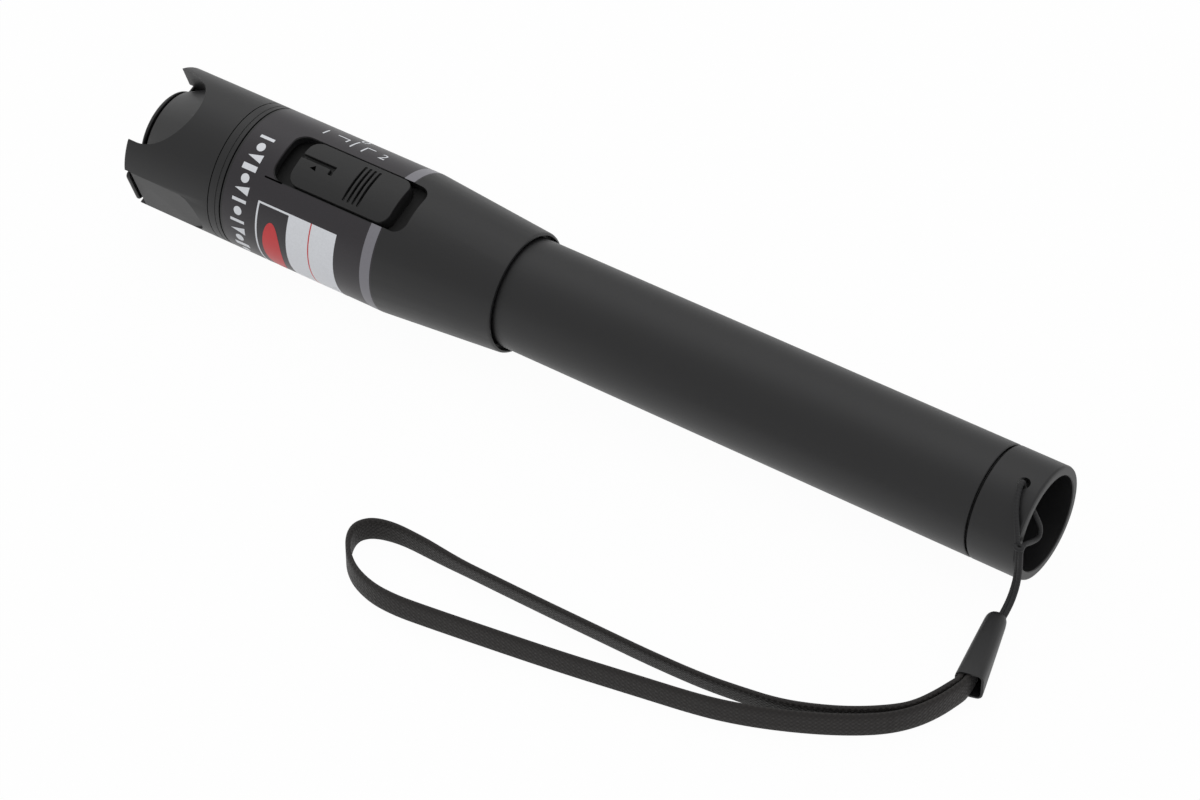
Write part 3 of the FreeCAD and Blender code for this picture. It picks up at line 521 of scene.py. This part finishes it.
class LOCATOR_OT_camera(bpy.types.Operator):
    """Place the camera over the lanyard's side of the tool"""

    bl_idname = "locator.camera"
    bl_label = "Place camera"

    def execute(self, context):
        lens = bpy.data.cameras.new("locator_camera")
        lens.lens = 127.4
        lens.sensor_width = 36
        lens.clip_start = 0.02
        lens.clip_end = 20
        camera = bpy.data.objects.new("locator_camera", lens)
        context.scene.collection.objects.link(camera)
        right = Vector((0.826898, 0.562351, 0))
        up = Vector((-0.355153, 0.522227, 0.775350))
        back = right.cross(up)
        turn = Matrix((right, up, back)).transposed().to_4x4()
        camera.matrix_world = Matrix.Translation((0.321245, -0.467970, 0.456844)) @ turn
        context.scene.camera = camera
        context.scene.view_settings.view_transform = "Standard"
        return {"FINISHED"}


class LOCATOR_OT_lanyard(bpy.types.Operator):
    """Lay the thin cord and the woven strap of the wrist lanyard"""

    bl_idname = "locator.lanyard"
    bl_label = "Lay lanyard"

    def execute(self, context):
        sizes = lanyard_settings()
        braid = cord_finish("braided_cord", (0.011, 0.011, 0.012), 50.0)
        string = nurbs_cord("tail_string", STRING_ROUTE, sizes.string_diameter)
        string.data.materials.append(braid)
        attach(string, "tail")
        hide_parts("lanyard_string")
        knot = bmesh.new()
        ring = bmesh.ops.create_circle(knot, segments=12, radius=0.4)["verts"]
        bmesh.ops.rotate(knot, verts=ring, cent=(0, 0, 0), matrix=Matrix.Rotation(math.radians(90), 3, "X"))
        bmesh.ops.translate(knot, verts=ring, vec=(KNOT_RADIUS, 0, 0))
        bmesh.ops.spin(knot, geom=knot.verts[:] + knot.edges[:], cent=(0, 0, 0), axis=(0, 0, 1), dvec=(0, 0, 0),
                       angle=math.tau, steps=24, use_merge=True, use_duplicate=False)
        bmesh.ops.recalc_face_normals(knot, faces=knot.faces)
        tilt = Matrix.Rotation(math.radians(12), 4, "Y") @ Matrix.Diagonal((1.0, 0.8, 1.0, 1.0))
        hitch = mesh_piece("string_knot", knot, "tail", braid,
                           Matrix.Scale(MM, 4) @ Matrix.Translation(KNOT_PLACE) @ tilt)
        woven = woven_finish("woven_nylon", tuple(sizes.woven))
        strap = strap_mesh("wrist_ribbon", sizes.strap_width, sizes.strap_thickness, woven, "tail")
        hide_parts("wrist_strap")
        line = line_points(strap_route())
        return {"FINISHED"}


class LOCATOR_OT_clamp(bpy.types.Operator):
    """Mould the tapered sleeve that joins the cord to the strap"""

    bl_idname = "locator.clamp"
    bl_label = "Mould clamp"

    def execute(self, context):
        material = plastic_finish("clamp_moulding", (0.0085, 0.0085, 0.0092), 0.5)
        place = Matrix.Scale(MM, 4) @ Matrix.Translation(CLAMP_MOUTH)
        axes = Matrix((CLAMP_SIDE, CLAMP_AXIS, Vector((0, 0, 1)))).transposed().to_4x4()
        work = bmesh.new()
        # rings along the sleeve: station, width, height, corner
        stations = ((0.0, 4.7, 4.9, 1.1), (0.5, 4.75, 5.0, 1.3), (4.0, 4.5, 4.7, 1.4), (9.0, 4.1, 4.2, 1.4),
                    (15.0, 3.6, 3.5, 1.4), (16.0, 3.4, 3.3, 1.4), (16.5, 3.0, 2.9, 1.3), (16.8, 2.2, 2.2, 1.0))
        rings = [sleeve_ring(work, station, width, height, corner) for station, width, height, corner in stations]
        for first, second in zip(rings, rings[1:]):
            bridge_rings(work, first, second)
        work.faces.new(rings[-1])
        inner = [sleeve_ring(work, station, width, height, 0.7) for station, width, height in
                 ((0.0, 3.9, 4.3), (0.3, 3.7, 4.2), (4.4, 3.4, 4.1))]
        bridge_rings(work, rings[0], inner[0])
        for first, second in zip(inner, inner[1:]):
            bridge_rings(work, first, second)
        work.faces.new(inner[-1])
        bmesh.ops.recalc_face_normals(work, faces=work.faces)
        sleeve = mesh_piece("clamp_sleeve", work, "tail", material, place @ axes, smooth=35)
        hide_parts("lanyard_clamp")
        return {"FINISHED"}


def sleeve_ring(work, station, width, height, corner):
    """One rounded-rectangle ring of the sleeve across its axis."""
    ring = []
    for turn in range(20):
        quarter, step = divmod(turn, 5)
        sx = (1, -1, -1, 1)[quarter]
        sz = (1, 1, -1, -1)[quarter]
        sweep = math.radians(90 * quarter + 90 * step / 4)
        centre_x, centre_z = sx * (width / 2 - corner), sz * (height / 2 - corner)
        ring.append(work.verts.new((centre_x + corner * math.cos(sweep), station,
                                    centre_z + corner * math.sin(sweep))))
    return ring


def bridge_rings(work, first, second):
    for index, vert in enumerate(first):
        after = (index + 1) % len(first)
        work.faces.new((vert, first[after], second[after], second[index]))


# ------------------------------------------------------------------ the tool's rigid pieces
class LOCATOR_OT_shell(bpy.types.Operator):
    """Ease the edges of the anodised crown, collar, barrel, tube and tail cap"""

    bl_idname = "locator.shell"
    bl_label = "Finish shell"

    def execute(self, context):
        look = finish_settings()
        colour = tuple(look.anodised)
        metal = metal_finish("black_anodising", colour, 0.46, look.grain)
        for node, body, width in (("head_crown", "housing", 0.16), ("head_collar", "housing", 0.14),
                                  ("barrel", "housing", 0.16), ("battery_tube", "housing", 0.12),
                                  ("tail_cap", "tail", 0.22)):
            softened(node, body, metal, width)
        return {"FINISHED"}


class LOCATOR_OT_cap(bpy.types.Operator):
    """Mould the push-in dust cap"""

    bl_idname = "locator.cap"
    bl_label = "Mould dust cap"

    def execute(self, context):
        colour = tuple(finish_settings().plastic)
        softened("dust_cap", "cap", plastic_finish("cap_moulding", colour, 0.42), 0.3, 3)
        return {"FINISHED"}


class LOCATOR_OT_switch(bpy.types.Operator):
    """Mould the slide switch's button and finish what shows round it"""

    bl_idname = "locator.switch"
    bl_label = "Fit slide switch"

    def execute(self, context):
        colour = tuple(finish_settings().plastic)
        slider = plastic_finish("button_moulding", tuple(c * 1.15 for c in colour), 0.55)
        softened("switch_slider", "slider", slider, 0.1)
        # A shineless near-black sheet laid on the button over its notch: painted shadow of the recess.
        notch = bmesh.new()
        corners = ((36.0, -0.85), (37.3, -1.1), (36.9, -0.15))
        notch.faces.new([notch.verts.new((x, y, math.sqrt(BUTTON_RADIUS ** 2 - y * y) + 0.03)) for x, y in corners])
        mesh_piece("button_notch_shadow", notch, "slider", shadow_finish("notch_shadow"), REST)
        return {"FINISHED"}


class LOCATOR_OT_film(bpy.types.Operator):
    """Print the label film: its light band, position marks and plain colour fields"""

    bl_idname = "locator.film"
    bl_label = "Print film"

    def execute(self, context):
        white = ink_finish("white_ink", (0.80, 0.82, 0.86))
        red = ink_finish("red_ink", (0.62, 0.03, 0.035))
        grey = ink_finish("grey_ink", (0.215, 0.21, 0.235))
        degree = math.radians(1) * BARREL_RADIUS

        band = bmesh.new()
        low, high = WINDOW_HALF, math.tau * BARREL_RADIUS - WINDOW_HALF
        arcs = [low + (high - low) * step / 120 for step in range(121)]
        for first, second in zip(arcs, arcs[1:]):
            add_patch(band, ((51.85, first), (53.95, first), (53.95, second), (51.85, second)))
        bmesh.ops.remove_doubles(band, verts=band.verts, dist=1e-5)
        print_piece("film_band", band, grey)

        marks = bmesh.new()
        stroke = 0.3
        for run in (((34.6, 42), (37.1, 42), (37.1, 36)), ((38.6, 46), (38.6, 32)),
                    ((42.7, 42), (41.0, 42), (41.0, 32))):
            for start, end in zip(run, run[1:]):
                add_patch(marks, bar_corners((start[0], -start[1] * degree), (end[0], -end[1] * degree), stroke))
        print_piece("position_lines", marks, white)
        for digit, station, turn in (("1", 32.4, 39), ("0", 38.9, 53), ("2", 45.0, 38)):
            numeral(digit, station, -turn * degree, 3.1, white)

        band_marks = bmesh.new()
        for number, sides in enumerate((4, 24, 3, 4, 24, 3, 4, 24, 4, 3, 24, 4, 24)):
            arc = (-5.0 + 9.0 * number) * degree
            middle = 25.4
            if sides == 4:
                wide = 0.55 if number % 2 else 0.3
                corners = ((middle - 1.5, arc - wide), (middle + 1.5, arc - wide), (middle + 1.5, arc + wide),
                           (middle - 1.5, arc + wide))
            elif sides == 3:
                corners = ((middle - 1.5, arc), (middle + 1.5, arc - 0.8), (middle + 1.5, arc + 0.8))
            else:
                corners = [(middle + 0.85 * math.cos(math.tau * step / sides),
                            arc + 0.85 * math.sin(math.tau * step / sides)) for step in range(sides)]
            add_patch(band_marks, corners)
        print_piece("band_shapes", band_marks, white)

        near, far = 42.5 * degree, 128 * degree
        start, step, end = 29.3, 36.0, 46.2
        line = 0.36
        frame_art = bmesh.new()
        for corners in (((start, near), (step, near), (step, near + line), (start, near + line)),
                        ((start, near + line), (start + line, near + line), (start + line, far - line),
                         (start, far - line)),
                        ((start, far - line), (step, far - line), (step, far), (start, far))):
            add_patch(frame_art, corners)
        print_piece("field_frame", frame_art, white)
        block_art = bmesh.new()
        divide = 40.65
        add_patch(block_art, ((step, near), (divide, near), (divide, far), (step, far)))
        add_patch(block_art, ((divide + 0.26, near), (end, near), (end, far), (divide + 0.26, far)))
        print_piece("field_block", block_art, white)
        divider = bmesh.new()
        add_patch(divider, ((divide, near), (divide + 0.26, near), (divide + 0.26, far), (divide, far)))
        print_piece("field_divider", divider, red)
        oval = bmesh.new()
        add_patch(oval, [(32.65 + 2.0 * math.cos(math.tau * turn / 48),
                          (85 + 29 * math.sin(math.tau * turn / 48)) * degree) for turn in range(48)])
        print_piece("field_oval", oval, red)
        # A shineless near-black strip along the film's cut at the window's edge: the cut is real, its darkness is
        # painted shadow.
        cut_line = bmesh.new()
        add_patch(cut_line, bar_corners((28.9, 5.35), (32.6, 5.35), 0.3))
        print_piece("film_cut_shadow_strip", cut_line, shadow_finish("cut_shadow"))
        return {"FINISHED"}


def numeral(digit, station, arc, height, material):
    """One plain numeral of the switch's positions, its foot towards the switch."""
    letter = bpy.data.curves.new("numeral", "FONT")
    letter.body = digit
    letter.size = height
    letter.resolution_u = 4
    reader = bpy.data.objects.new("numeral", letter)
    mesh = bpy.data.meshes.new_from_object(reader)
    bpy.data.objects.remove(reader)
    art = bmesh.new()
    art.from_mesh(mesh)
    bpy.data.meshes.remove(mesh)
    bpy.data.curves.remove(letter)
    spots = [vert.co.copy() for vert in art.verts]
    middle = (max(s.x for s in spots) + min(s.x for s in spots)) / 2
    level = (max(s.y for s in spots) + min(s.y for s in spots)) / 2
    for vert in art.verts:
        vert.co = Vector((station + vert.co.x - middle, arc - vert.co.y + level, 0))
    print_piece("numeral_" + digit, art, material)


class LOCATOR_OT_insides(bpy.types.Operator):
    """Finish the pieces that only an opened or turned tool shows"""

    bl_idname = "locator.insides"
    bl_label = "Finish insides"

    def execute(self, context):
        look = finish_settings()
        plastic = tuple(look.plastic)
        grain = look.grain
        inner = plastic_finish("inner_moulding", (0.02, 0.02, 0.021), 0.5)
        board = plastic_finish("solder_mask", (0.012, 0.09, 0.03), 0.35, 0.0002)
        cell = metal_finish("cell_sleeve", (0.03, 0.035, 0.05), 0.35, 0.0004)
        finishes = {
            "label_film": film_finish("film_print", tuple(look.film)),
            "ferrule_port": metal_finish("turned_steel", (0.56, 0.56, 0.58), 0.3, 0.0003, 1.0),
            "ferrule_sleeve": plastic_finish("zirconia", (0.8, 0.79, 0.74), 0.2, 0.0004),
            "laser_housing": metal_finish("turned_brass", (0.6, 0.42, 0.16), 0.3, 0.0003, 1.0),
            "focus_lens": lens_finish("lens_glass"),
            "lens_spacer": inner, "switch_knob": inner,
            # the slide plate is near-black, five times darker than the other mouldings: painted shade of the gaps
            # beside the button
            "slide_plate": plastic_finish("slide_plate_painted_shade", (0.0012, 0.0012, 0.0013), 0.7),
            "laser_diode": metal_finish("gilt_can", (0.75, 0.56, 0.22), 0.25, 0.0004, 1.0),
            "diode_board": board, "circuit_board": board, "contact_board": board,
            "lead_supply": plastic_finish("red_insulation", (0.4, 0.02, 0.015), 0.35),
            "lead_return": plastic_finish("black_insulation", (0.012, 0.012, 0.012), 0.35),
            "slide_switch": metal_finish("switch_can", (0.6, 0.6, 0.62), 0.3, 0.0003, 1.0),
            "driver_chip": plastic_finish("chip_case", (0.014, 0.014, 0.015), 0.5),
            "capacitor": metal_finish("capacitor_can", (0.66, 0.66, 0.68), 0.25, 0.0003, 1.0),
            "trim_resistor": plastic_finish("trimmer_case", (0.02, 0.06, 0.26), 0.4),
            "front_contact": metal_finish("contact_brass", (0.66, 0.47, 0.2), 0.28, 0.0003, 1.0),
            "battery_front": cell, "battery_rear": cell,
            "tail_spring": metal_finish("plated_spring", (0.68, 0.68, 0.7), 0.22, 0.0003, 1.0),
            "o_ring": plastic_finish("seal_rubber", (0.012, 0.012, 0.012), 0.55, 0.0003),
        }
        spare = metal_finish("black_anodising", tuple(look.anodised), 0.46, grain)
        for name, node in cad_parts.items():
            node.data.materials.clear()
            node.data.materials.append(finishes.get(name, spare))
        return {"FINISHED"}


def film_finish(name, colour):
    """Satin printed film with a very fine speckle."""
    web = Web(name)
    where = web.coordinates()
    speckle = web.noise(where, 5200.0, 2.0)
    broad = web.noise(where, 120.0, 2.0)
    shade = web.mix(speckle, tuple(c * 0.6 for c in colour), tuple(min(1, c * 1.5) for c in colour))
    return web.finish(Base_Color=shade, Roughness=(broad - 0.5) * 0.06 + 0.42,
                      Normal=web.bump(speckle, 0.000004))


def lens_finish(name):
    """Polished optical glass with the faint tint of its coating."""
    web = Web(name)
    tint = web.noise(web.coordinates(), 400.0, 1.0)
    shade = web.mix(tint, (0.55, 0.6, 0.7), (0.62, 0.6, 0.72))
    web.shader.inputs["Transmission Weight"].default_value = 0.85
    web.shader.inputs["IOR"].default_value = 1.6
    return web.finish(Base_Color=shade, Roughness=(tint - 0.5) * 0.02 + 0.04)


# ------------------------------------------------------------------ stage
class LOCATOR_OT_stage(bpy.types.Operator):
    """Set the white floor, the surrounding light and the lamps"""

    bl_idname = "locator.stage"
    bl_label = "Set stage"

    def execute(self, context):
        look = context.scene.locator_stage
        web = Web("white_floor")
        rays = web.tree.nodes.new("ShaderNodeLightPath")
        seen = Wire(web, rays.outputs["Is Camera Ray"])
        glossy = Wire(web, rays.outputs["Is Glossy Ray"])
        clear = Wire(web, rays.outputs["Is Transmission Ray"])
        white = web.tree.nodes.new("ShaderNodeEmission")
        white.inputs["Color"].default_value = (1, 1, 1, 1)
        white.inputs["Strength"].default_value = 1.0
        blend = web.tree.nodes.new("ShaderNodeMixShader")
        web.feed(blend.inputs[0], (seen + glossy + clear).calc("MINIMUM", 1.0) * 0.97)
        web.finish(Base_Color=(0.86, 0.86, 0.86), Roughness=0.7)
        web.tree.links.new(web.shader.outputs[0], blend.inputs[1])
        web.tree.links.new(white.outputs[0], blend.inputs[2])
        output = next(node for node in web.tree.nodes if node.type == "OUTPUT_MATERIAL")
        web.tree.links.new(blend.outputs[0], output.inputs[0])

        work = bmesh.new()
        bmesh.ops.create_grid(work, x_segments=1, y_segments=1, size=3.0)
        mesh = bpy.data.meshes.new("studio_floor")
        work.to_mesh(mesh)
        work.free()
        mesh.materials.append(web.material)
        floor = bpy.data.objects.new("studio_floor", mesh)
        context.scene.collection.objects.link(floor)

        world = bpy.data.worlds.new("studio_walls")
        context.scene.world = world
        world.use_nodes = True
        tree = world.node_tree
        ground = tree.nodes["Background"]
        ground.inputs["Color"].default_value = (1, 1, 1, 1)
        ground.inputs["Strength"].default_value = look.world
        bright = tree.nodes.new("ShaderNodeBackground")
        bright.inputs["Color"].default_value = (1, 1, 1, 1)
        bright.inputs["Strength"].default_value = 1.0
        path = tree.nodes.new("ShaderNodeLightPath")
        choose = tree.nodes.new("ShaderNodeMixShader")
        tree.links.new(path.outputs["Is Camera Ray"], choose.inputs[0])
        tree.links.new(ground.outputs[0], choose.inputs[1])
        tree.links.new(bright.outputs[0], choose.inputs[2])
        tree.links.new(choose.outputs[0], tree.nodes["World Output"].inputs[0])

        for name, place, target, power, size in (
                ("overhead_softbox", (-0.05, 0.15, 0.75), (0, 0, 0), look.key, 0.7),
                ("side_softbox", (-0.7, 0.35, 0.45), (-0.03, 0, 0.01), look.key * 0.5, 0.5)):
            light = bpy.data.lights.new(name, "AREA")
            light.energy = power
            light.size = size
            lamp = bpy.data.objects.new(name, light)
            context.scene.collection.objects.link(lamp)
            lamp.location = place
            lamp.rotation_euler = (Vector(target) - Vector(place)).to_track_quat("-Z", "Y").to_euler()
        return {"FINISHED"}


class LOCATOR_PT_panel(bpy.types.Panel):
    """The locator's steps and settings"""

    bl_idname = "LOCATOR_PT_panel"
    bl_label = "Fault locator"
    bl_space_type = "VIEW_3D"
    bl_region_type = "UI"
    bl_category = "Fault Locator"

    def draw(self, context):
        column = self.layout.column()
        for operator in OPERATORS:
            column.operator(operator.bl_idname)
        for attribute, group in SETTINGS:
            for name in group.__annotations__:
                column.prop(getattr(context.scene, attribute), name)


OPERATORS = (LOCATOR_OT_camera, LOCATOR_OT_lanyard, LOCATOR_OT_clamp, LOCATOR_OT_shell, LOCATOR_OT_cap,
             LOCATOR_OT_switch, LOCATOR_OT_film, LOCATOR_OT_insides, LOCATOR_OT_stage)


def register():
    for attribute, group in SETTINGS:
        bpy.utils.register_class(group)
        setattr(bpy.types.Scene, attribute, bpy.props.PointerProperty(type=group))
    for operator in OPERATORS:
        bpy.utils.register_class(operator)
    bpy.utils.register_class(LOCATOR_PT_panel)


def unregister():
    bpy.utils.unregister_class(LOCATOR_PT_panel)
    for operator in reversed(OPERATORS):
        bpy.utils.unregister_class(operator)
    for attribute, group in reversed(SETTINGS):
        delattr(bpy.types.Scene, attribute)
        bpy.utils.unregister_class(group)


def main():
    register()
    for operator in OPERATORS:
        group, name = operator.bl_idname.split(".")
        result = getattr(getattr(bpy.ops, group), name)()
        if "FINISHED" not in result:
            raise RuntimeError("step %s did not finish" % operator.bl_idname)


if __name__ == "__main__":
    main()
